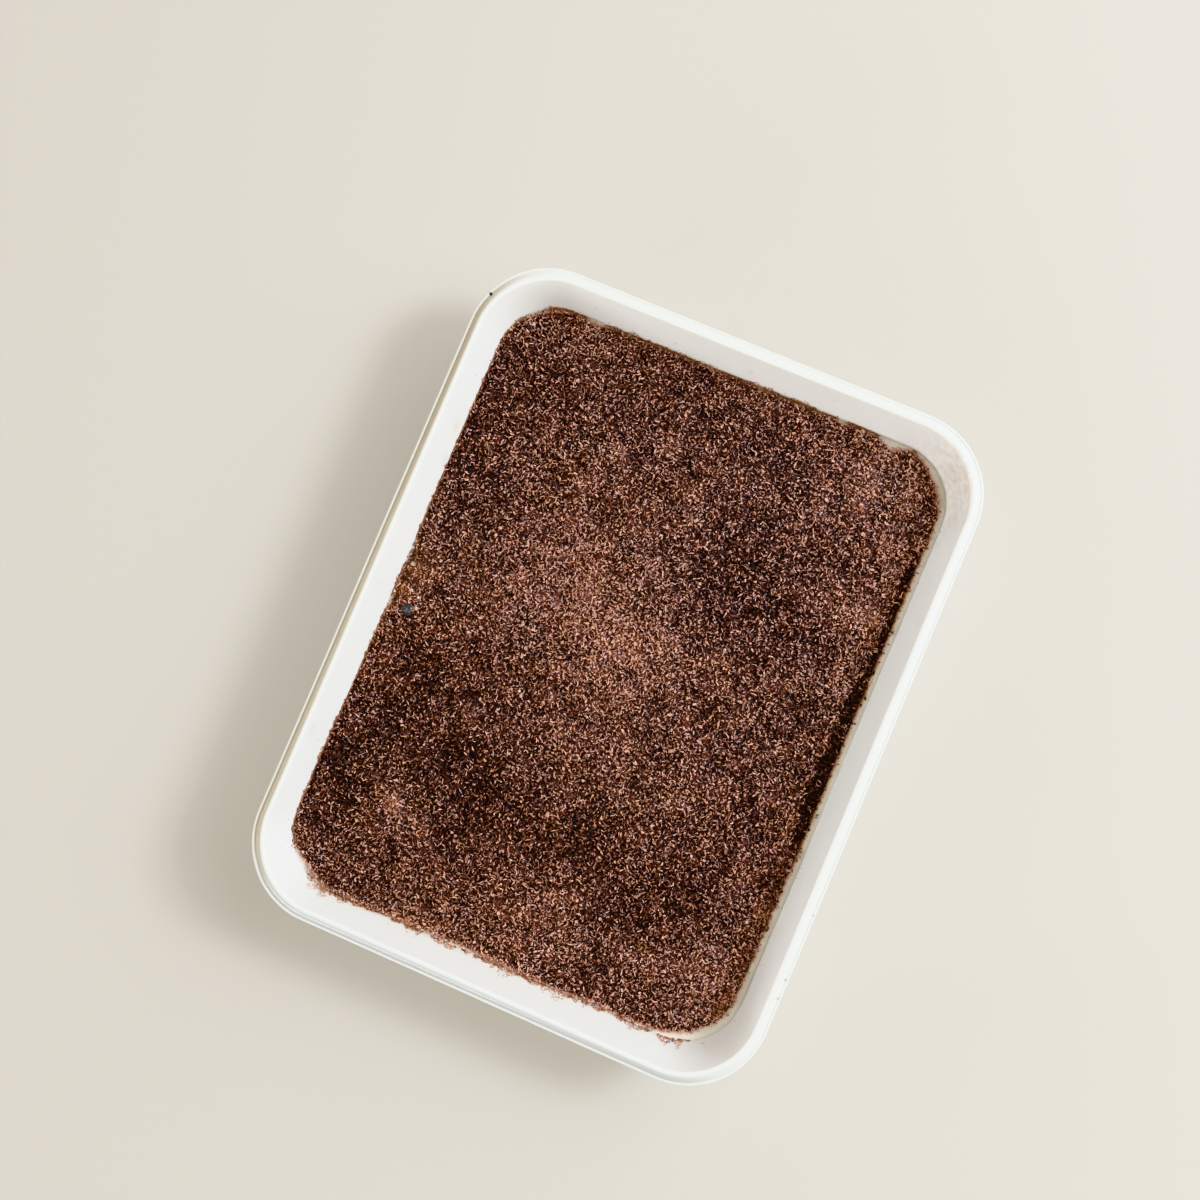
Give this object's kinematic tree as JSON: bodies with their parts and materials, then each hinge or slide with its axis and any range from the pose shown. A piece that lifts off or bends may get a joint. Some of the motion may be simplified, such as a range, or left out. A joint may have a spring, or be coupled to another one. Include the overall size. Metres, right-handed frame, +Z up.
{
  "type": "tiramisu",
  "caption": "Tiramisu in a white enamelled steel tray with a rolled rim: cream set up to a little below the rim, under an uneven bed of fine grated chocolate.",
  "frame": {"origin": "middle of the tray's flat foot, on the surface that it stands on", "axes": "+Y along the tray's long side, +X across it, +Z up out of the tray"},
  "size_m": [0.1592, 0.205, 0.033],
  "materials": {
    "enamel": "glossy white vitreous enamel on pressed steel",
    "cream": "soft ivory cream, stained light brown by cocoa and coffee where it meets the wall",
    "chocolate": "fine dark grated chocolate with lighter curled edges"
  },
  "bodies": {
    "root": {"enamel_tray": "enamel", "cream_filling": "cream", "grated_chocolate": "chocolate"}
  },
  "joints": []
}
